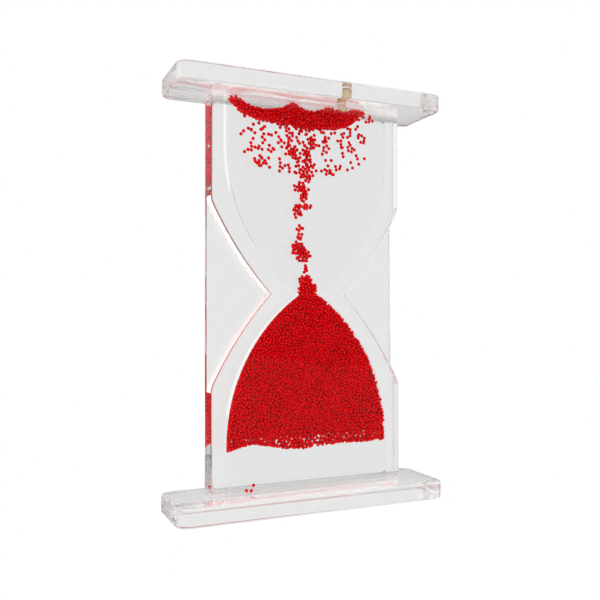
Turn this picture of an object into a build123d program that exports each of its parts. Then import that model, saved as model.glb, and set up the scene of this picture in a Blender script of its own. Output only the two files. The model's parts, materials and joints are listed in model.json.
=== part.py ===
from build123d import *
import math
import os

# Liquid motion timer: a clear moulding in the outline of an hourglass, hollowed from behind, is closed by a flat
# clear back. The waisted chamber between them holds liquid and beads, and stands between two clear end plates.
# The beads are lighter than the liquid, so they rise through the neck a few at a time.
# X runs along the end plates, Y from front to back and Z up. The origin is the centre of the underside.
# The body and its contents are made about the middle of the waist, then lifted onto the bottom plate.

os.makedirs("parts", exist_ok=True)

# End plates
plate_length = 90.0
plate_depth = 24.0
plate_thickness = 5.7
plate_corner_radius = 3.7
plate_edge_bevel = 0.5

# Clear body, the front moulding and the flat back together
body_width = 65.3
body_height = 123.0
body_depth = 7.5
back_thickness = 2.0

# Outline of the front moulding
waist_width = 26.6
shoulder_rise = 28.6
shoulder_round = 6.0
outline_bow = 1.3

# Chamber, hollowed into the front moulding from behind
front_wall = 1.25
chamber_width = 55.5
chamber_straight = 15.2
neck_width = 7.0
neck_round = 0.4

# Plug in the top plate's fill hole, and the sealant over it
plug_offset = 12.5
plug_diameter = 3.5
plug_reach = 2.0
plug_bevel = 0.6
sealant_depth = 1.2

# Air under the top plate
bubble_offset_shares = (-0.27, 0.018, 0.22)
bubble_width_shares = (0.332, 0.198, 0.126)
bubble_depths = (3.0, 1.9, 1.0)

# Beads
bead_diameter = 1.15
bead_clearance = 0.1
scallop_width = 2.3
scallop_height = 0.5
pile_underside_rise = 13.7
plume_height = 7.5
stream_width = 3.2
stream_pitch = 0.66
stream_gap_rises = (10.0, 23.5)
stream_gap_height = 2.4
layer_side_thickness = 1.8
layer_middle_thickness = 7.4
layer_sag_share = 0.76
cloud_width = 42.0
cloud_row_count = 4
cloud_row_pitch = 3.1
cloud_column_pitch = 2.6
cloud_scatter = 0.7
stray_offsets = (-19.9, -18.4, -17.3)
stray_depths = (1.2, -1.1, 1.2)
stray_rises = (0.0, 0.0, 1.5)

match_tolerance = 0.05
golden_share = (math.sqrt(5) - 1) / 2
corner_share = 1.182
half_height = body_height / 2
front_level = -body_depth / 2
seam_level = body_depth / 2 - back_thickness
chamber_front = front_level + front_wall
chamber_depth = seam_level - chamber_front
chamber_middle = (chamber_front + seam_level) / 2


def four_way(corner_path):
    """A face from one path in the upper right quarter, repeated to the left and below."""
    right = corner_path + [mirror(edge, about=Plane.XZ) for edge in corner_path]
    left = [mirror(edge, about=Plane.YZ) for edge in right]
    return make_face(right + left)


def block_from(face, low, high):
    """A face drawn with Z up, thickened from one Y level to another."""
    return Pos(0, high, 0) * extrude(Plane.XZ * face, high - low)


def body_outline():
    """The hourglass outline: straight sides that bow in to the waist below a rounded shoulder."""
    side = body_width / 2
    bowed = SagittaArc((waist_width / 2, 0), (side, shoulder_rise), -outline_bow)
    flank = Line((side, shoulder_rise), (side, half_height))
    top = Line((side, half_height), (0, half_height))
    face = four_way([bowed, flank, top])
    shoulders = [v for v in face.vertices() if math.isclose(abs(v.Y), shoulder_rise, abs_tol=match_tolerance)]
    return fillet(shoulders, shoulder_round)


def chamber_outline():
    """The chamber's outline: straight sides that curve in to the neck."""
    side = chamber_width / 2
    neck = neck_width / 2
    straight_start = half_height - chamber_straight
    reach = side - neck
    bow_radius = (reach**2 + straight_start**2) / (2 * reach)
    curved = RadiusArc((side, straight_start), (neck, 0), bow_radius)
    flank = Line((side, half_height), (side, straight_start))
    top = Line((0, half_height), (side, half_height))
    face = four_way([top, flank, curved])
    tips = [v for v in face.vertices() if math.isclose(abs(v.X), neck, abs_tol=match_tolerance)]
    return fillet(tips, neck_round)


def chamber_space():
    """The room for the liquid and the beads."""
    return block_from(chamber_outline(), chamber_front, seam_level)


def front_moulding(space):
    """The hourglass moulding, with the chamber open behind and at both ends."""
    return block_from(body_outline(), front_level, seam_level) - space


def flat_back():
    """The flat sheet behind, welded to the moulding."""
    return Pos(0, (seam_level + body_depth / 2) / 2, 0) * Box(body_width, back_thickness, body_height)


def end_plate():
    """A flat plate with rounded corners and bevelled edges, its underside on Z = 0."""
    plate = extrude(RectangleRounded(plate_length, plate_depth, plate_corner_radius), plate_thickness)
    rims = plate.faces().sort_by(Axis.Z)[0].edges() + plate.faces().sort_by(Axis.Z)[-1].edges()
    return chamfer(rims, plate_edge_bevel)


def fill_plug():
    """The peg in the fill hole: sunk below the plate's top, with a bevelled end in the chamber."""
    length = plate_thickness - sealant_depth + plug_reach
    peg = Cylinder(plug_diameter / 2, length, align=(Align.CENTER, Align.CENTER, Align.MIN))
    peg = chamfer(peg.edges().filter_by(GeomType.CIRCLE).sort_by(Axis.Z)[0], plug_bevel)
    return Pos(plug_offset, chamber_middle, half_height - plug_reach) * peg


def plug_sealant():
    """The disc of sealant that fills the hole over the plug, level with the plate."""
    disc = Cylinder(plug_diameter / 2, sealant_depth, align=(Align.CENTER, Align.CENTER, Align.MAX))
    return Pos(plug_offset, chamber_middle, half_height + plate_thickness) * disc


def air_pockets():
    """Pockets of air that lie against the top plate and bulge down, right across the chamber."""
    for offset_share, width_share, depth in zip(bubble_offset_shares, bubble_width_shares, bubble_depths):
        width = width_share * chamber_width
        radius = (width**2 / 4 + depth**2) / (2 * depth)
        centre = Pos(offset_share * chamber_width, chamber_middle, half_height + radius - depth)
        yield centre * Rotation(90, 0, 0) * Cylinder(radius, body_depth)


def scalloped_slab(level, far_level, width):
    """A slab right through the chamber, from a far level to a line of scallops that hang from level(x)."""
    count = round(width / scallop_width)
    step = width / count
    points = [(i * step - width / 2, level(i * step - width / 2)) for i in range(count + 1)]
    scallops = [SagittaArc(a, b, -scallop_height) for a, b in zip(points, points[1:])]
    first, last = points[0], points[-1]
    rim = Polyline(last, (last[0], far_level), (first[0], far_level), first)
    return block_from(make_face([*scallops, *rim.edges()]), front_level, body_depth / 2)


def layer_level(x):
    """The underside of the risen beads: it sags towards the middle, where the stream arrives."""
    share = min(abs(x) / (layer_sag_share * chamber_width / 2), 1)
    return half_height - layer_middle_thickness + (layer_middle_thickness - layer_side_thickness) * share**2


def lower_pile(space):
    """The beads still to rise: they fill the lower chamber from above, and bulge up through the neck."""
    pile = scalloped_slab(lambda x: pile_underside_rise - half_height, 0, body_width)
    plume = Cone(neck_width / 2, stream_width / 2, plume_height, align=(Align.CENTER, Align.CENTER, Align.MIN))
    return space & (pile + Pos(0, chamber_middle, 0) * plume)


def top_layer(space):
    """The risen beads, packed under the top plate and round the air."""
    return space & scalloped_slab(layer_level, half_height, body_width)


def bead():
    """One bead as a regular ball of twenty facets with the volume of the round one, so that many stay light."""
    short = bead_diameter / 2 * corner_share / math.hypot(1, 1 / golden_share)
    long = short / golden_share
    signs = [(a, b) for a in (-1, 1) for b in (-1, 1)]
    corners = [(0, a * short, b * long) for a, b in signs]
    corners += [(a * short, b * long, 0) for a, b in signs]
    corners += [(b * long, 0, a * short) for a, b in signs]
    return ConvexPolyhedron(corners)


def stream_places():
    """Bead centres in a loose twisted column above the plume, with gaps where it breaks up."""
    height = plume_height + bead_diameter
    top = layer_level(0) - scallop_height - bead_diameter
    places = []
    while height < top:
        if all(abs(height - rise) > stream_gap_height / 2 for rise in stream_gap_rises):
            turn = 2 * math.pi * golden_share * len(places)
            radius = (stream_width - bead_diameter) / 2
            places.append((radius * math.cos(turn), radius * math.sin(turn), height))
        height += stream_pitch
    return places


def cloud_places():
    """Bead centres spread out below the settled layer, on both sides of the stream."""
    column_count = round(cloud_width / cloud_column_pitch)
    room = chamber_depth / 2 - bead_diameter / 2 * corner_share - bead_clearance
    places = []
    for row in range(cloud_row_count):
        for column in range(row, column_count + 1 - row):
            seed = golden_share * (row * column_count + column)
            spread = 2 * cloud_scatter * (seed % 1 - 0.5)
            x = (column - column_count / 2) * cloud_column_pitch + spread
            drop = bead_diameter + scallop_height + (row + 0.5) * cloud_row_pitch
            z = layer_level(x) - drop + cloud_scatter * (3 * seed % 1 - 0.5)
            if abs(x) > stream_width / 2 + bead_diameter:
                places.append((x, room * math.sin(5 * seed), z))
    return places


def stray_places():
    """Bead centres of the few that are left at the bottom plate."""
    level = bead_clearance + bead_diameter / 2 * corner_share - half_height
    return [(x, y, level + rise) for x, y, rise in zip(stray_offsets, stray_depths, stray_rises)]


def beads(places):
    """Separate beads at these centres, measured from the middle of the chamber's depth."""
    one = Pos(0, chamber_middle, 0) * bead()
    return Compound([Pos(*place) * one for place in places])


space = chamber_space()
plug = fill_plug()
air = list(air_pockets())
pile = lower_pile(space)
layer = top_layer(space) - [*air, plug]
stream = beads(stream_places())
cloud = beads(cloud_places())
strays = beads(stray_places())
contents = [pile, layer, plug, *stream.solids(), *cloud.solids(), *strays.solids()]
fill_hole = Pos(plug_offset, chamber_middle, plate_thickness / 2) * Cylinder(plug_diameter / 2, plate_thickness)

on_waist = {
    "front_shell": front_moulding(space),
    "back_shell": flat_back(),
    "top_plate": Pos(0, 0, half_height) * (end_plate() - fill_hole),
    "bottom_plate": Pos(0, 0, -half_height - plate_thickness) * end_plate(),
    "fill_plug": plug,
    "plug_sealant": plug_sealant(),
    "liquid": space - [*contents, *air],
    "lower_bead_pile": pile,
    "rising_bead_stream": stream,
    "scattered_beads": cloud,
    "top_bead_layer": layer,
    "stray_beads": strays,
}

for name, shape in on_waist.items():
    placed = Pos(0, 0, half_height + plate_thickness) * shape
    export_step(placed, f"parts/{name}.step")
    print(name, len(placed.solids()), round(placed.volume, 1), placed.is_valid, placed.bounding_box())
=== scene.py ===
import json
import math
import random

import bmesh
import bpy
from mathutils import Matrix, Vector, kdtree

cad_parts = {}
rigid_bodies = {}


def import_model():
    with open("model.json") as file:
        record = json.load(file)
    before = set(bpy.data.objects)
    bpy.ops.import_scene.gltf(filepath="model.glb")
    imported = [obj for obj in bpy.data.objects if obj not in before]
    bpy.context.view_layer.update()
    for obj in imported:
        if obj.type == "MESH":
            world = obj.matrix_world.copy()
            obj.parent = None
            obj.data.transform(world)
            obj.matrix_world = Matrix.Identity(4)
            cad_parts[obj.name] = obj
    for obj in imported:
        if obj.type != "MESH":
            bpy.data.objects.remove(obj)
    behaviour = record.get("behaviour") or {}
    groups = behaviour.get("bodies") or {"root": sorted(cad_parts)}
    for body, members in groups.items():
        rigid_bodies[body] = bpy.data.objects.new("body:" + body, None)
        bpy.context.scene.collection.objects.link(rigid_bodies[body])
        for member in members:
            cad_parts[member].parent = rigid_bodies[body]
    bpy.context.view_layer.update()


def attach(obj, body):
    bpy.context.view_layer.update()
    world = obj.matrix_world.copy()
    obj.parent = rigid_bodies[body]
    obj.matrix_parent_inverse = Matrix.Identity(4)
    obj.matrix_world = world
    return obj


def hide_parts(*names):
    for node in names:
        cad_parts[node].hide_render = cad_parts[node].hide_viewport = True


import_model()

# The studio.
# The timer stands on a white floor in soft even light, with a large soft lamp behind it on the left. Seen
# straight on it is burnt out to white, but the clear parts mirror and bend a darker room, and so stand out.
mm = 0.001
floor_radius = 2.5
floor_sides = 96
floor_drop = 0.2 * mm
room_bright = (0.87, 0.87, 0.87, 1)
room_dim = (0.50, 0.49, 0.49, 1)
backdrop = (1, 1, 1, 1)
lamp_direction = (-0.55, 0.83, 0.10)
lamp_glow = (0.16, 0.16, 0.155, 1)
mirrored_floor = (0.12, 0.12, 0.12, 1)
mirrored_front = (0.05, 0.05, 0.05, 1)
mirrored_back = (0.42, 0.42, 0.42, 1)
mirrored_top = (1.3, 1.3, 1.3, 1)
no_light = (0, 0, 0, 1)
dim_until, bright_from = 0.2, 0.75
lamp_edge, lamp_core = 0.62, 0.93
back_from = 0.9
top_edge, top_core = 0.4, 0.8
matt_gain = 1.45


def node(tree, kind, **settings):
    """Adds a shader node and sets its properties."""
    made = tree.nodes.new("ShaderNode" + kind)
    for name, value in settings.items():
        setattr(made, name, value)
    return made


def ramp(tree, source, low, low_colour, high, high_colour):
    """A colour that runs from one to another as a value rises."""
    made = node(tree, "ValToRGB")
    made.color_ramp.elements[0].position = low
    made.color_ramp.elements[0].color = low_colour
    made.color_ramp.elements[1].position = high
    made.color_ramp.elements[1].color = high_colour
    tree.links.new(source, made.inputs[0])
    return made.outputs[0]


def matt_strength(tree, seen):
    """The strength of the light: matt things are lit more, as an exposure for a burnt-out background does."""
    deep = node(tree, "Math", operation="MINIMUM")
    deep.inputs[1].default_value = 1
    lift = node(tree, "Math", operation="MULTIPLY_ADD")
    lift.inputs[1].default_value = matt_gain
    lift.inputs[2].default_value = 1
    tree.links.new(seen.outputs["Diffuse Depth"], deep.inputs[0])
    tree.links.new(deep.outputs[0], lift.inputs[0])
    return lift.outputs[0]


def mirror_share(tree, seen):
    """One for a ray that an outer face has mirrored, and nought for one that has passed through."""
    share = node(tree, "Math", operation="SUBTRACT", use_clamp=True)
    tree.links.new(seen.outputs["Is Glossy Ray"], share.inputs[0])
    tree.links.new(seen.outputs["Is Transmission Ray"], share.inputs[1])
    return share.outputs[0]


bpy.ops.object.select_all(action="DESELECT")
bpy.ops.mesh.primitive_circle_add(
    vertices=floor_sides, radius=floor_radius, fill_type="NGON", location=(0, 0, -floor_drop))
floor = bpy.context.object
floor.name = "studio_floor"
floor_paint = bpy.data.materials.new("pale_floor")
floor_paint.use_nodes = True
tree = floor_paint.node_tree
tree.nodes.clear()
output = node(tree, "OutputMaterial")
mix = node(tree, "MixShader")
seen = node(tree, "LightPath")
soft = node(tree, "Emission")
choose = node(tree, "MixRGB")
choose.inputs[1].default_value = room_bright
choose.inputs[2].default_value = mirrored_floor
tree.links.new(mirror_share(tree, seen), choose.inputs[0])
tree.links.new(choose.outputs[0], soft.inputs["Color"])
glow = node(tree, "Emission")
glow.inputs["Color"].default_value = backdrop
tree.links.new(matt_strength(tree, seen), soft.inputs["Strength"])
tree.links.new(seen.outputs["Is Camera Ray"], mix.inputs[0])
tree.links.new(soft.outputs[0], mix.inputs[1])
tree.links.new(glow.outputs[0], mix.inputs[2])
tree.links.new(mix.outputs[0], output.inputs["Surface"])
floor.data.materials.append(floor_paint)

scene = bpy.context.scene
world = bpy.data.worlds.new("soft_studio")
scene.world = world
world.use_nodes = True
tree = world.node_tree
tree.nodes.clear()
output = node(tree, "OutputWorld")
room = node(tree, "Background")
direct = node(tree, "Background")
direct.inputs["Color"].default_value = backdrop
mix = node(tree, "MixShader")
seen = node(tree, "LightPath")
where = node(tree, "TexCoord")
axes = node(tree, "SeparateXYZ")
depth = node(tree, "Math", operation="ABSOLUTE")
toward = node(tree, "VectorMath", operation="DOT_PRODUCT")
toward.inputs[1].default_value = lamp_direction
both = node(tree, "VectorMath", operation="ADD")
tree.links.new(where.outputs["Generated"], axes.inputs[0])
tree.links.new(axes.outputs["Y"], depth.inputs[0])
tree.links.new(where.outputs["Generated"], toward.inputs[0])
sides = ramp(tree, depth.outputs[0], dim_until, room_dim, bright_from, room_bright)
lamp = ramp(tree, toward.outputs["Value"], lamp_edge, no_light, lamp_core, lamp_glow)
tree.links.new(sides, both.inputs[0])
tree.links.new(lamp, both.inputs[1])
mirrored = node(tree, "VectorMath", operation="ADD")
level = ramp(tree, axes.outputs["Y"], 0, mirrored_front, back_from, mirrored_back)
above = ramp(tree, axes.outputs["Z"], top_edge, no_light, top_core, mirrored_top)
tree.links.new(level, mirrored.inputs[0])
tree.links.new(above, mirrored.inputs[1])
choose = node(tree, "MixRGB")
tree.links.new(mirror_share(tree, seen), choose.inputs[0])
tree.links.new(both.outputs[0], choose.inputs[1])
tree.links.new(mirrored.outputs[0], choose.inputs[2])
tree.links.new(choose.outputs[0], room.inputs["Color"])
tree.links.new(matt_strength(tree, seen), room.inputs["Strength"])
tree.links.new(seen.outputs["Is Camera Ray"], mix.inputs[0])
tree.links.new(room.outputs[0], mix.inputs[1])
tree.links.new(direct.outputs[0], mix.inputs[2])
tree.links.new(mix.outputs[0], output.inputs["Surface"])

scene.view_settings.view_transform = "Standard"
scene.cycles.max_bounces = 24
scene.cycles.transmission_bounces = 24
scene.cycles.glossy_bounces = 12
scene.cycles.transparent_max_bounces = 48

# The camera.
# It stands a little below the middle, in front and to the left, and looks slightly up.
camera_yaw = 23.74
camera_pitch = 1.07
camera_roll = 0.10
camera_place = (-95.9 * mm, -213.3 * mm, 61.2 * mm)
focal_length = 43.45
film_width = 36
nearest_seen = 10 * mm

lens = bpy.data.cameras.new("camera")
lens.lens = focal_length
lens.sensor_width = film_width
lens.clip_start = nearest_seen
camera = bpy.data.objects.new("camera", lens)
scene.collection.objects.link(camera)
turn = Matrix.Rotation(math.radians(-camera_yaw), 4, "Z")
turn = turn @ Matrix.Rotation(math.radians(90 + camera_pitch), 4, "X")
turn = turn @ Matrix.Rotation(math.radians(-camera_roll), 4, "Z")
camera.matrix_world = Matrix.Translation(camera_place) @ turn
scene.camera = camera

# Front moulding.
# A clear acrylic casting in the outline of an hourglass, its front rim rounded by the mould. The chamber is
# hollowed into it from behind, and its flat back is solvent-welded to the sheet.
waist = 67.2 * mm
half_height = 61.5 * mm
body_side = 32.65 * mm
front_level = -3.75 * mm
seam_level = 1.75 * mm
outline_radius = 115.3 * mm
outline_centre = (-71.45 * mm, 78.2 * mm)
outline_steps = 22
chamber_steps = 44
shoulder_round = 1.36 * mm
front_rim_round = 1.2 * mm
outer_round_steps = 6
chamber_radius = 56.325 * mm
chamber_centre = (-28.575 * mm, 46.3 * mm)
chamber_side = 27.75 * mm
chamber_front = -2.5 * mm
neck_tip_round = 0.45 * mm
chamber_rim_round = 0.5 * mm
inner_round_steps = 4
overshoot = 1 * mm
near = 0.01 * mm
doubles = 0.001 * mm
squarely = 0.99
edge_on = 0.02
shell_crease = math.radians(20)
resin_ior = 1.49
resin_on_liquid_ior = 1.06
wave_height = 0.01 * mm
wave_scale = 60
wave_detail = 1


def only(piece):
    """Deselects all else and makes this the active piece."""
    bpy.ops.object.select_all(action="DESELECT")
    piece.select_set(True)
    bpy.context.view_layer.objects.active = piece


def begin(piece, kind="FACE"):
    """Opens a piece for editing with nothing selected."""
    only(piece)
    bpy.ops.object.mode_set(mode="EDIT")
    bpy.ops.mesh.select_mode(type=kind)
    bpy.ops.mesh.select_all(action="DESELECT")


def pick(piece, kind, test):
    """Selects, in edit mode, the faces or edges that pass a test."""
    mesh = bmesh.from_edit_mesh(piece.data)
    for part in (mesh.faces if kind == "FACE" else mesh.edges):
        if test(part):
            part.select_set(True)
    bmesh.update_edit_mesh(piece.data)


def middle(part):
    """The middle of a face or an edge."""
    return sum((v.co for v in part.verts), Vector()) / len(part.verts)


def span(edge):
    """How far an edge reaches along each axis."""
    return edge.verts[1].co - edge.verts[0].co


def end():
    """Closes a piece after editing."""
    bpy.ops.object.mode_set(mode="OBJECT")


def soften(piece, width, segments, test):
    """Rounds the edges that pass a test."""
    begin(piece, "EDGE")
    pick(piece, "EDGE", test)
    bpy.ops.mesh.bevel(offset=width, segments=segments, affect="EDGES", clamp_overlap=True)
    end()


def paint(piece, material, test):
    """Gives a material to the faces that pass a test."""
    if material.name not in piece.data.materials:
        piece.data.materials.append(material)
    begin(piece)
    pick(piece, "FACE", test)
    piece.active_material_index = piece.data.materials.find(material.name)
    bpy.ops.object.material_slot_assign()
    end()


def combine(piece, tool, action):
    """Joins, cuts or keeps what two pieces share, by a Boolean that is applied, and removes the tool."""
    boolean = piece.modifiers.new("combine", "BOOLEAN")
    boolean.operation = action
    boolean.object = tool
    boolean.solver = "EXACT"
    boolean.material_mode = "TRANSFER"
    only(piece)
    bpy.ops.object.modifier_apply(modifier=boolean.name)
    bpy.data.objects.remove(tool)
    begin(piece, "VERT")
    bpy.ops.mesh.select_all(action="SELECT")
    bpy.ops.mesh.remove_doubles(threshold=doubles)
    bpy.ops.mesh.normals_make_consistent(inside=False)
    end()


def waisted(radius, centre, side, reach, low, high, steps, material):
    """A plate with a waisted outline: in each quarter an arc from the waist, then straight to the end.

    One quarter is drawn by spinning and extruding a point, and mirrored; then the face is given its depth.
    """
    first = math.asin(centre[1] / radius)
    last = math.acos(min((side - centre[0]) / radius, 1))
    bpy.ops.object.select_all(action="DESELECT")
    bpy.ops.mesh.primitive_plane_add(size=mm, location=(0, 0, waist))
    piece = bpy.context.object
    piece.data.materials.append(material)
    begin(piece, "VERT")
    bpy.ops.mesh.select_all(action="SELECT")
    bpy.ops.mesh.merge(type="CENTER")
    bpy.ops.transform.translate(value=(centre[0] + radius * math.cos(first), low, 0))
    pivot = (centre[0], low, waist + centre[1])
    bpy.ops.mesh.spin(steps=steps, angle=first - last, center=pivot, axis=(0, 1, 0))
    straight = reach - centre[1] + radius * math.sin(last)
    for step in ((0, 0, straight), (-side, 0, 0), (0, 0, -reach)):
        bpy.ops.mesh.extrude_vertices_move(TRANSFORM_OT_translate={"value": step})
    bpy.ops.mesh.select_all(action="SELECT")
    bpy.ops.mesh.edge_face_add()
    end()
    quarters = piece.modifiers.new("quarters", "MIRROR")
    quarters.use_axis = (True, False, True)
    quarters.merge_threshold = near
    bpy.ops.object.modifier_apply(modifier=quarters.name)
    bpy.ops.object.transform_apply(location=True, rotation=True, scale=True)
    begin(piece)
    bpy.ops.mesh.select_all(action="SELECT")
    bpy.ops.mesh.dissolve_faces()
    bpy.ops.mesh.extrude_region_move(TRANSFORM_OT_translate={"value": (0, high - low, 0)})
    bpy.ops.mesh.select_all(action="SELECT")
    bpy.ops.mesh.normals_make_consistent(inside=False)
    end()
    return piece


def front_rim(low, reach):
    """Tests for the edges round a waisted plate's front face, apart from those at its two ends."""
    return lambda e: abs(middle(e).y - low) < near and abs(span(e).y) < near and (
        abs(abs(middle(e).z - waist) - reach) > near)


def body_form(low, high, material):
    """The moulding's outline, with its shoulders rounded."""
    side = body_side
    piece = waisted(outline_radius, outline_centre, side, half_height, low, high, outline_steps, material)
    soften(piece, shoulder_round, outer_round_steps, lambda e: abs(span(e).y) > near and (
        abs(middle(e).x) > side - near and abs(middle(e).z - waist) < half_height / 2))
    return piece


def chamber_form(inset, extra, material):
    """The chamber's hollow, drawn in from its walls by an inset and carried on past its open sides."""
    reach = half_height - inset + extra
    low = chamber_front + inset
    radius = chamber_radius - inset
    high = seam_level - inset + extra
    side = chamber_side - inset
    piece = waisted(radius, chamber_centre, side, reach, low, high, chamber_steps, material)
    soften(piece, neck_tip_round, inner_round_steps, lambda e: abs(span(e).y) > near and (
        abs(middle(e).z - waist) < near))
    soften(piece, chamber_rim_round, inner_round_steps, front_rim(low, reach))
    return piece


def group(name, outputs, **inputs):
    """Starts a shader node group: its named sockets, and the nodes that stand for them."""
    made = bpy.data.node_groups.new(name, "ShaderNodeTree")
    for socket, kind in outputs.items():
        made.interface.new_socket(socket, in_out="OUTPUT", socket_type="NodeSocket" + kind)
    for socket, kind in inputs.items():
        made.interface.new_socket(socket, in_out="INPUT", socket_type="NodeSocket" + kind)
    return made, made.nodes.new("NodeGroupInput"), made.nodes.new("NodeGroupOutput")


def use(tree, effect, **values):
    """Sets a node group in a material, with values for its sockets."""
    made = node(tree, "Group", node_tree=effect)
    for socket, value in values.items():
        made.inputs[socket].default_value = value
    return made


waviness, given, result = group("moulded_waviness", {"Normal": "Vector"}, Height="Float", Scale="Float")
place = node(waviness, "TexCoord")
flow = node(waviness, "TexNoise")
flow.inputs["Detail"].default_value = wave_detail
relief = node(waviness, "Bump")
waviness.links.new(place.outputs["Object"], flow.inputs["Vector"])
waviness.links.new(given.outputs["Scale"], flow.inputs["Scale"])
waviness.links.new(flow.outputs[0], relief.inputs["Height"])
waviness.links.new(given.outputs["Height"], relief.inputs["Distance"])
waviness.links.new(relief.outputs[0], result.inputs["Normal"])


def clear_resin(name, tint, ior, roughness=0, clearness=1, wave=wave_height):
    """A clear resin whose surface has a faint moulded waviness."""
    made = bpy.data.materials.new(name)
    made.use_nodes = True
    tree = made.node_tree
    shader = tree.nodes["Principled BSDF"]
    shader.inputs["Base Color"].default_value = (*tint, 1)
    shader.inputs["IOR"].default_value = ior
    shader.inputs["Transmission Weight"].default_value = clearness
    shader.inputs["Roughness"].default_value = roughness
    flow = use(tree, waviness, Height=wave, Scale=wave_scale)
    tree.links.new(flow.outputs["Normal"], shader.inputs["Normal"])
    return made


def level_end(face):
    """Whether a face closes the body at its foot or its head."""
    return abs(face.normal.z) > squarely and abs(abs(middle(face).z - waist) - half_height) < near


shell_resin = clear_resin("clear_shell_resin", (0.945, 0.945, 0.94), resin_ior)
satin_wall = clear_resin("satin_notch_wall", (0.97, 0.96, 0.945), resin_ior, roughness=0.35, clearness=0.35)
wet_wall = clear_resin("wetted_chamber_wall", (0.985, 0.99, 0.99), resin_on_liquid_ior)

weld = bpy.data.materials.new("solvent_weld")
weld.use_nodes = True
weld.node_tree.nodes["Principled BSDF"].inputs["Alpha"].default_value = 0

front = body_form(front_level, seam_level, shell_resin)
soften(front, front_rim_round, outer_round_steps, front_rim(front_level, half_height))
combine(front, chamber_form(0, overshoot, wet_wall), "DIFFERENCE")
front.name = front.data.name = "front_moulding"
paint(front, satin_wall, lambda f: abs(f.normal.y) < edge_on < abs(f.normal.z) < squarely and (
    front.data.materials[f.material_index] is shell_resin))
paint(front, weld, lambda f: abs(f.normal.y) > squarely and abs(middle(f).y - seam_level) < near)
paint(front, weld, level_end)
only(front)
bpy.ops.object.shade_smooth_by_angle(angle=shell_crease)
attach(front, "root")
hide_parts("front_shell")

# Back sheet.
# A flat sheet of clear acrylic, sawn to a rectangle and polished. It is welded on to close the chamber, and
# stands out beside the waist. Shallow stamps in it mark where it is welded and where the liquid lies.
back_level = 3.75 * mm
sheet_edge_round = 0.25 * mm
sheet_edge_steps = 3
weld_depth = 0.02 * mm
wet_depth = 0.04 * mm


def block(low, high, material):
    """A block between two corners."""
    low, high = Vector(low), Vector(high)
    bpy.ops.object.select_all(action="DESELECT")
    bpy.ops.mesh.primitive_cube_add(size=1, location=(low + high) / 2)
    piece = bpy.context.object
    piece.scale = high - low
    bpy.ops.object.transform_apply(location=True, rotation=True, scale=True)
    piece.data.materials.append(material)
    return piece


sheet = block(
    (-body_side, seam_level, waist - half_height), (body_side, back_level, waist + half_height), shell_resin)
soften(sheet, sheet_edge_round, sheet_edge_steps, lambda e: abs(span(e).z) > near)
combine(sheet, body_form(seam_level - overshoot, seam_level + weld_depth, weld), "DIFFERENCE")
combine(sheet, chamber_form(0, wet_depth, wet_wall), "DIFFERENCE")
sheet.name = sheet.data.name = "back_sheet"
paint(sheet, weld, level_end)
only(sheet)
bpy.ops.object.shade_smooth_by_angle(angle=shell_crease)
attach(sheet, "root")
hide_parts("back_shell")

# End plates.
# Two alike plates cut from thicker clear acrylic, with rounded corners and edges and satin ends. The body is
# cemented to them on end, so that they close the chamber. The top one has the hole for filling it.
plate_length = 90 * mm
plate_depth = 24 * mm
plate_thickness = 5.7 * mm
plate_corner_round = 3.7 * mm
plate_corner_steps = 8
plate_edge_round = 0.9 * mm
plate_edge_steps = 5
plate_crease = math.radians(25)
endwise = 0.7
top_level = waist + half_height
plug_hole = 1.75 * mm
plug_place = (12.5 * mm, -0.375 * mm)
rod_sides = 48
# The satin roughness of the plate ends is their sawn finish, but their faint pink tint is a painted
# reflection of the red beads' light.
satin_end_painted_pink = clear_resin("satin_plate_end_painted_pink", (0.95, 0.90, 0.91), resin_ior, roughness=0.2, clearness=0.85)
# The cement film's cloudiness is the real glue joint; its faint pink tint is a painted reflection of the red
# beads' light.
cement_film_painted_pink = clear_resin(
    "cloudy_cement_film_painted_pink", (1.0, 0.96, 0.96), resin_on_liquid_ior, roughness=0.3, clearness=0.45)


def end_plate(low, name, cad_node):
    """A plate with rounded corners and edges."""
    half = Vector((plate_length / 2, plate_depth / 2, 0))
    plate = block(Vector((0, 0, low)) - half, Vector((0, 0, low + plate_thickness)) + half, shell_resin)
    soften(plate, plate_corner_round, plate_corner_steps, lambda e: abs(span(e).z) > near)
    soften(plate, plate_edge_round, plate_edge_steps, lambda e: abs(span(e).z) < near)
    paint(plate, satin_end_painted_pink, lambda f: abs(f.normal.x) > endwise and (
        abs(middle(f).x) > plate_length / 2 - plate_corner_round))
    plate.name = plate.data.name = name
    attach(plate, "root")
    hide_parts(cad_node)
    return plate


def stamp(plate, low, high):
    """Marks where a plate is cemented to the body, by a cloudy film that has crept over the chamber too."""
    joint = block(
        (-body_side, front_level, low - weld_depth), (body_side, back_level, high + weld_depth), cement_film_painted_pink)
    combine(plate, joint, "DIFFERENCE")


def rod(radius, low, high, place, material):
    """An upright round rod."""
    bpy.ops.object.select_all(action="DESELECT")
    bpy.ops.mesh.primitive_cylinder_add(
        vertices=rod_sides, radius=radius, depth=high - low, location=(place[0], place[1], (low + high) / 2))
    piece = bpy.context.object
    bpy.ops.object.transform_apply(location=True, rotation=True, scale=True)
    piece.data.materials.append(material)
    return piece


bottom = end_plate(0, "bottom_end_plate", "bottom_plate")
stamp(bottom, plate_thickness, plate_thickness + overshoot)
top = end_plate(top_level, "top_end_plate", "top_plate")
stamp(top, top_level - overshoot, top_level)
hole = rod(plug_hole, top_level - overshoot, top_level + plate_thickness + overshoot, plug_place, wet_wall)
combine(top, hole, "DIFFERENCE")
for plate in (bottom, top):
    only(plate)
    bpy.ops.object.shade_smooth_by_angle(angle=plate_crease)

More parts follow.
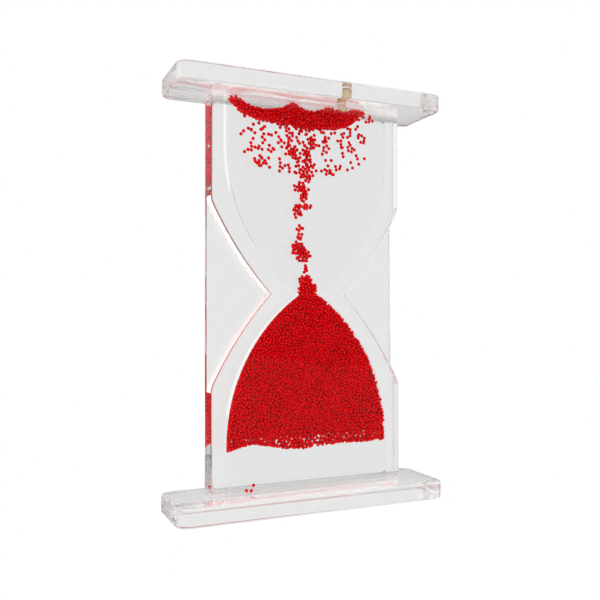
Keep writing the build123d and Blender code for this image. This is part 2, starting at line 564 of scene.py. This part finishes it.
# Beads waiting below the neck.
# Small glossy balls of red plastic, a little lighter than the liquid. Thousands have floated up into the
# chamber's lower half, pack against its walls and bulge up through the neck. They hide a plain core.
bead_round = 0.6 * mm
bead_reach = 1.16 * mm
bead_push = 0.45
bead_roughness = 0.22
bead_ior = 1.2
bead_cell = 1.1 * mm
core_cell = 0.8 * mm
wall_clearance = 0.62 * mm
bead_seed = 5
pile_count = 6300
pile_settling = 24
# Places of beads and air are in millimetres, from the middle of the waist.
pile_side = 27
pile_front, pile_back = -1.9, 1.1
pile_head, pile_foot = 0.3, 48
seen_depth = 0.75 * mm
core_inset = 1.05 * mm
core_low = waist - 44.6 * mm
core_high = waist - 2.5 * mm
pile_underside = (
    (-28, -48.6), (-26, -47.6), (-24, -46.9), (-19.5, -46.0), (-14, -46.9), (-8, -48.2), (-2, -48.7),
    (6, -48.1), (12, -47.6), (20, -47.9), (25, -47.5), (28, -49.2),
)

tone, given, result = group("bead_tone", {"Color": "Color"}, Pale="Color", Deep="Color", Scale="Float")
place = node(tone, "TexCoord")
cells = node(tone, "TexVoronoi")
parts = node(tone, "SeparateColor")
blend = node(tone, "MixRGB")
tone.links.new(place.outputs["Object"], cells.inputs["Vector"])
tone.links.new(given.outputs["Scale"], cells.inputs["Scale"])
tone.links.new(cells.outputs["Color"], parts.inputs[0])
tone.links.new(parts.outputs[0], blend.inputs[0])
tone.links.new(given.outputs["Deep"], blend.inputs[1])
tone.links.new(given.outputs["Pale"], blend.inputs[2])
tone.links.new(blend.outputs[0], result.inputs["Color"])


def bead_plastic(name, pale, deep, cell):
    """Glossy red plastic, wetted by the liquid, whose red differs a little from bead to bead."""
    made = bpy.data.materials.new(name)
    made.use_nodes = True
    tree = made.node_tree
    shader = tree.nodes["Principled BSDF"]
    shader.inputs["Roughness"].default_value = bead_roughness
    shader.inputs["IOR"].default_value = bead_ior
    reds = use(tree, tone, Pale=(*pale, 1), Deep=(*deep, 1), Scale=1 / cell)
    tree.links.new(reds.outputs["Color"], shader.inputs["Base Color"])
    return made


def one_bead(material):
    """A small ball made from a cube, with few faces because it is repeated."""
    bpy.ops.object.select_all(action="DESELECT")
    bpy.ops.mesh.primitive_cube_add(size=2 * bead_round)
    ball = bpy.context.object
    ball.data.materials.append(material)
    begin(ball)
    bpy.ops.mesh.select_all(action="SELECT")
    bpy.ops.mesh.subdivide(number_cuts=1)
    bpy.ops.transform.tosphere(value=1)
    end()
    low = min(v.co.length for v in ball.data.vertices)
    begin(ball)
    bpy.ops.mesh.select_all(action="SELECT")
    bpy.ops.transform.resize(value=(bead_round / low,) * 3)
    end()
    only(ball)
    bpy.ops.object.shade_smooth()
    return ball


def copies(places, material, name, cad_node):
    """Sets a copy of the bead at each place, and joins the copies into one piece."""
    places_mesh = bpy.data.meshes.new(name)
    places_mesh.from_pydata(places, [], [])
    carrier = bpy.data.objects.new(name + "_places", places_mesh)
    scene.collection.objects.link(carrier)
    carrier.instance_type = "VERTS"
    ball = one_bead(material)
    ball.parent = carrier
    only(carrier)
    bpy.ops.object.duplicates_make_real()
    carrier.select_set(False)
    made = list(bpy.context.selected_objects)
    made[0].data = made[0].data.copy()
    bpy.context.view_layer.objects.active = made[0]
    bpy.ops.object.join()
    piece = bpy.context.object
    bpy.ops.object.transform_apply(location=True, rotation=True, scale=True)
    bpy.data.objects.remove(carrier)
    bpy.data.objects.remove(ball)
    piece.name = piece.data.name = name
    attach(piece, "root")
    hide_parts(cad_node)
    return piece


def between(points, x):
    """The level at x of a line through listed points."""
    for (a, low), (b, high) in zip(points, points[1:]):
        if x <= b * mm:
            return (low + (high - low) * (x / mm - a) / (b - a)) * mm
    return points[-1][1] * mm


def in_chamber(place, margin):
    """The nearest place to this one that lies inside the chamber, a margin from its walls."""
    x, y, z = abs(place[0]), place[1], abs(place[2] - waist)
    limit = chamber_radius - margin
    if z < chamber_centre[1]:
        across, along = x - chamber_centre[0], z - chamber_centre[1]
        away = math.hypot(across, along)
        if away > limit:
            x = max(chamber_centre[0] + across * limit / away, 0)
            z = max(chamber_centre[1] + along * limit / away, 0)
    else:
        x = min(x, chamber_side - margin)
    z = min(z, half_height - margin)
    y = min(max(y, chamber_front + margin), seam_level - margin)
    return Vector((math.copysign(x, place[0]), y, waist + math.copysign(z, place[2] - waist)))


def settled(places, rounds, room):
    """Pushes the beads apart until they hardly overlap, each kept within its room."""
    for _ in range(rounds):
        tree = kdtree.KDTree(len(places))
        for number, place in enumerate(places):
            tree.insert(place, number)
        tree.balance()
        pushed = []
        for number, place in enumerate(places):
            push = Vector()
            for other, other_number, gap in tree.find_range(place, bead_reach):
                if other_number != number and gap > 0:
                    push += (place - other) * (bead_push * (bead_reach - gap) / gap)
            pushed.append(room(place + push))
        places = pushed
    return places


def in_pile(place):
    """Keeps a bead inside the lower half, above the heap's uneven underside."""
    place.z = min(max(place.z, waist + between(pile_underside, place.x)), waist)
    return in_chamber(place, wall_clearance)


def wall_distance(place):
    """How far a bead lies from the nearest wall, or from the heap's underside."""
    across = abs(place.x) - chamber_centre[0]
    along = min(abs(place.z - waist) - chamber_centre[1], 0)
    level = waist + between(pile_underside, place.x)
    sides = chamber_radius - math.hypot(across, along)
    return min(place.y - chamber_front, seam_level - place.y, sides, place.z - level + wall_clearance)


red_bead = bead_plastic("red_bead_plastic", pale=(0.91, 0.001, 0.005), deep=(0.71, 0, 0.004), cell=bead_cell)
chance = random.Random(bead_seed)
pile = []
while len(pile) < pile_count:
    x = chance.uniform(-pile_side, pile_side)
    tried = Vector((x, chance.uniform(pile_front, pile_back), -chance.uniform(pile_head, pile_foot))) * mm
    tried.z += waist
    if (in_pile(tried.copy()) - tried).length < near:
        pile.append(tried)
pile = settled(pile, pile_settling, in_pile)
shown = [p for p in pile if wall_distance(p) < wall_clearance + seen_depth or (
    p.z > core_high - bead_reach)]
copies(shown, red_bead, "waiting_beads", "lower_bead_pile")

# The core's darker red is painted shade: it stands for the shaded beads deeper in the heap, seen through the
# gaps.
painted_shade_core_red = bead_plastic(
    "packed_bead_plastic_painted_shade", pale=(0.50, 0.001, 0.004), deep=(0.35, 0, 0.002), cell=core_cell)
core = chamber_form(core_inset, 0, painted_shade_core_red)
slab = block((-chamber_side, front_level, core_low), (chamber_side, back_level, core_high), painted_shade_core_red)
combine(core, slab, "INTERSECT")
core.name = core.data.name = "packed_beads"
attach(core, "root")
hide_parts("lower_bead_pile")

# Beads rising in the stream.
# Beads push up through the neck, part into strings and small clumps, and open out below the top. A clump is
# given by the place of its middle, its half width, its half height and the number of its beads.
clumps = (
    (-0.2, 1.6, 2.7, 1.7, 62), (-0.9, 4.4, 1.9, 1.5, 26), (-0.9, 8.2, 1.0, 0.9, 5),
    (-3.4, 15.0, 1.6, 1.5, 26), (-1.6, 12.4, 1.7, 1.7, 26), (-2.8, 18.6, 1.6, 1.0, 6),
    (-2.6, 21.2, 1.7, 0.8, 5), (-3.6, 26.5, 1.1, 2.2, 16), (-0.6, 28.3, 1.6, 0.8, 8),
    (-1.5, 31.6, 1.0, 2.0, 13), (-3.0, 34.6, 1.4, 1.3, 16), (-0.9, 35.4, 1.3, 2.2, 8),
    (-0.7, 39.2, 2.0, 1.9, 24), (0.3, 42.2, 2.1, 1.6, 14), (-1.0, 45.4, 1.4, 1.6, 12),
    (0.7, 48.6, 2.0, 1.8, 20),
)
stream_front, stream_back = -1.7, 0.9
stream_settling = 8


def in_stream(place):
    """Keeps a bead inside the chamber."""
    return in_chamber(place, wall_clearance)


stream = []
for x, z, wide, high, count in clumps:
    for _ in range(count):
        turned = chance.uniform(0, 2 * math.pi)
        out = math.sqrt(chance.random())
        across = x + wide * out * math.cos(turned)
        along = z + high * out * math.sin(turned)
        depth = chance.uniform(stream_front, stream_back)
        stream.append(Vector((across * mm, depth * mm, waist + along * mm)))
stream = settled(stream, stream_settling, in_stream)
copies(stream, red_bead, "rising_beads", "rising_bead_stream")

# Beads spread out below the top.
# Where the stream meets the settled layer its beads drift apart to both sides, alone or in pairs. A few lie
# beyond the layer's right end.
cloud_count = 225
cloud_settling = 4
cloud_middle, cloud_spread = -0.5, 14
cloud_left, cloud_right = -22.5, 21.5
cloud_front, cloud_back = -1.8, 1.0
cloud_top = 56.5
cloud_lowest = 38.0
cloud_lowest_at = -1
cloud_slope = 0.14
cloud_thinning = 0.9
kept_clear_side, kept_clear_top = 3, 50
pair_chance = 0.2
pair_lean = 0.5
outlier_count = 9
outlier_left, outlier_right = 17, 23.5
outlier_low, outlier_high = 54.5, 60.5

cloud = []
while len(cloud) < cloud_count:
    x = chance.gauss(cloud_middle, cloud_spread)
    low = cloud_lowest + cloud_slope * abs(x - cloud_lowest_at)
    z = cloud_top - (cloud_top - low) * chance.random() ** cloud_thinning
    if not cloud_left < x < cloud_right or abs(x) < kept_clear_side and z < kept_clear_top:
        continue
    place = Vector((x * mm, chance.uniform(cloud_front, cloud_back) * mm, waist + z * mm))
    cloud.append(place)
    if chance.random() < pair_chance:
        turned = chance.uniform(0, 2 * math.pi)
        lean = chance.uniform(-pair_lean, pair_lean)
        cloud.append(place + Vector((math.cos(turned), lean, math.sin(turned))) * bead_reach)
for _ in range(outlier_count):
    x = chance.uniform(outlier_left, outlier_right)
    y = chance.uniform(cloud_front, cloud_back)
    cloud.append(Vector((x, y, chance.uniform(outlier_low, outlier_high))) * mm + Vector((0, 0, waist)))
cloud = settled(cloud, cloud_settling, in_stream)
copies(cloud, red_bead, "drifting_beads", "scattered_beads")

# Beads packed at the top.
# The risen beads lie against the top plate and round the air under it. Each pocket of air is the foot of a
# round drum through the chamber, given by its middle and its radius.
air_rounds = ((-15, 74.1, 15.6), (1, 68.5, 8.91), (12.2, 67.125, 6.625))
layer_count = 690
layer_settling = 24
layer_left, layer_right = -27, 22.5
layer_front, layer_back = -1.85, 1.1
layer_low, layer_high = 53, 61
layer_limit = 22.8
layer_underside = (
    (-28, 61.2), (-25.5, 59.6), (-22.5, 57.0), (-19, 55.6), (-16, 55.1), (-12, 54.7), (-8, 53.9),
    (-4, 54.1), (0, 54.1), (5, 54.3), (10, 54.7), (13, 55.4), (15.5, 56.8), (17.8, 58.6), (18.6, 60.6),
    (23.5, 60.8),
)


def in_layer(place):
    """Keeps a bead under the plate and the air, and above the layer's sagging underside."""
    place.z = max(place.z, waist + between(layer_underside, place.x))
    place.x = min(place.x, layer_limit * mm)
    for x, z, across in air_rounds:
        out = Vector((place.x - x * mm, 0, place.z - waist - z * mm))
        if out.length < across * mm + bead_round:
            out *= (across * mm + bead_round) / out.length
            place = Vector((x * mm + out.x, place.y, waist + z * mm + out.z))
    return in_chamber(place, wall_clearance)


layer = []
while len(layer) < layer_count:
    x = chance.uniform(layer_left, layer_right)
    y = chance.uniform(layer_front, layer_back)
    tried = Vector((x, y, chance.uniform(layer_low, layer_high))) * mm
    tried.z += waist
    if (in_layer(tried.copy()) - tried).length < near:
        layer.append(tried)
layer = settled(layer, layer_settling, in_layer)
copies(layer, red_bead, "risen_beads", "top_bead_layer")

# Beads left at the bottom.
# Three beads that have stuck to the bottom plate and the walls near it.
stray_places = ((-20.5, 0.9, -60.75), (-19.6, -1.7, -60.5), (-18.2, 0.9, -59.3))
strays = [Vector((x * mm, y * mm, waist + z * mm)) for x, y, z in stray_places]
copies(strays, red_bead, "stray_bead_trio", "stray_beads")

# Liquid.
# A clear liquid fills the chamber round the beads, apart from a few pockets of air under the top plate. Its
# outer face bends no light, since the wetted walls do that, but its face towards the air does.
liquid_gap = 0.05 * mm
film = 0.15 * mm
pocket_sides = 192
plug_end = 2 * mm
clear_liquid = clear_resin("clear_liquid", (0.985, 0.985, 0.985), ior=1, wave=0)
air_face = clear_resin("liquid_against_air", (1, 1, 1), ior=1.38)

liquid = chamber_form(liquid_gap, 0, clear_liquid)
for x, z, across in air_rounds:
    bpy.ops.object.select_all(action="DESELECT")
    bpy.ops.mesh.primitive_cylinder_add(
        vertices=pocket_sides, radius=across * mm, depth=plate_depth, location=(x * mm, 0, waist + z * mm),
        rotation=(math.radians(90), 0, 0))
    pocket = bpy.context.object
    bpy.ops.object.transform_apply(location=True, rotation=True, scale=True)
    pocket.data.materials.append(air_face)
    combine(pocket, chamber_form(film, 0, air_face), "INTERSECT")
    combine(liquid, pocket, "DIFFERENCE")
room_low = top_level - plug_end - liquid_gap
plug_room = rod(plug_hole + liquid_gap, room_low, top_level + overshoot, plug_place, clear_liquid)
combine(liquid, plug_room, "DIFFERENCE")
liquid.name = liquid.data.name = "clear_filling"
only(liquid)
bpy.ops.object.shade_smooth_by_angle(angle=shell_crease)
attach(liquid, "root")
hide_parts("liquid")

# Fill plug and sealant.
# The chamber is filled through a hole in the top plate. A yellowed peg closes it, under a disc of sealant.
plug_fit = 0.03 * mm
sealant_depth = 1.2 * mm
sealant_sink = 0.15 * mm
sealant_bevel = 0.2 * mm
sealant_bevel_steps = 3
plug_bevel = 0.5 * mm
plug_bevel_steps = 4
patch_scale = 900
patch_low, patch_high = 0.35, 0.65
patch_dark, patch_light = (0.75, 0.75, 0.75, 1), (1, 1, 1, 1)
amber_roughness = 0.3
amber_clearness = 0.75

patches, given, result = group("cloudy_patches", {"Color": "Color"}, Tint="Color")
place = node(patches, "TexCoord")
clouds = node(patches, "TexNoise")
clouds.inputs["Scale"].default_value = patch_scale
shade = ramp(patches, clouds.outputs[0], patch_low, patch_dark, patch_high, patch_light)
tinted = node(patches, "VectorMath", operation="MULTIPLY")
patches.links.new(place.outputs["Object"], clouds.inputs["Vector"])
patches.links.new(shade, tinted.inputs[0])
patches.links.new(given.outputs["Tint"], tinted.inputs[1])
patches.links.new(tinted.outputs[0], result.inputs["Color"])


def amber(name, tint, ior):
    """A yellowed clear plastic with cloudy patches."""
    made = bpy.data.materials.new(name)
    made.use_nodes = True
    tree = made.node_tree
    shader = tree.nodes["Principled BSDF"]
    shader.inputs["IOR"].default_value = ior
    shader.inputs["Transmission Weight"].default_value = amber_clearness
    shader.inputs["Roughness"].default_value = amber_roughness
    yellowed = use(tree, patches, Tint=(*tint, 1))
    tree.links.new(yellowed.outputs["Color"], shader.inputs["Base Color"])
    return made


def close_hole(piece, name, cad_node):
    """Names a piece in the fill hole, smooths it and ties it to its CAD node."""
    piece.name = piece.data.name = name
    only(piece)
    bpy.ops.object.shade_smooth_by_angle(angle=plate_crease)
    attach(piece, "root")
    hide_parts(cad_node)


peg_amber = amber("yellowed_peg", (0.90, 0.76, 0.50), ior=1.1)
seal_amber = amber("yellowed_sealant", (0.80, 0.60, 0.44), ior=1.3)
seal_low = top_level + plate_thickness - sealant_depth
seal_high = top_level + plate_thickness - sealant_sink
peg = rod(plug_hole - plug_fit, top_level - plug_end, seal_low - plug_fit, plug_place, peg_amber)
soften(peg, plug_bevel, plug_bevel_steps, lambda e: abs(span(e).z) < near and middle(e).z < top_level)
paint(peg, weld, lambda f: f.normal.z > squarely)
close_hole(peg, "fill_peg", "fill_plug")
seal = rod(plug_hole - plug_fit, seal_low, seal_high, plug_place, seal_amber)
soften(seal, sealant_bevel, sealant_bevel_steps, lambda e: abs(span(e).z) < near and (
    middle(e).z > seal_high - near))
paint(seal, weld, lambda f: f.normal.z < -squarely)
close_hole(seal, "sealant_disc", "plug_sealant")
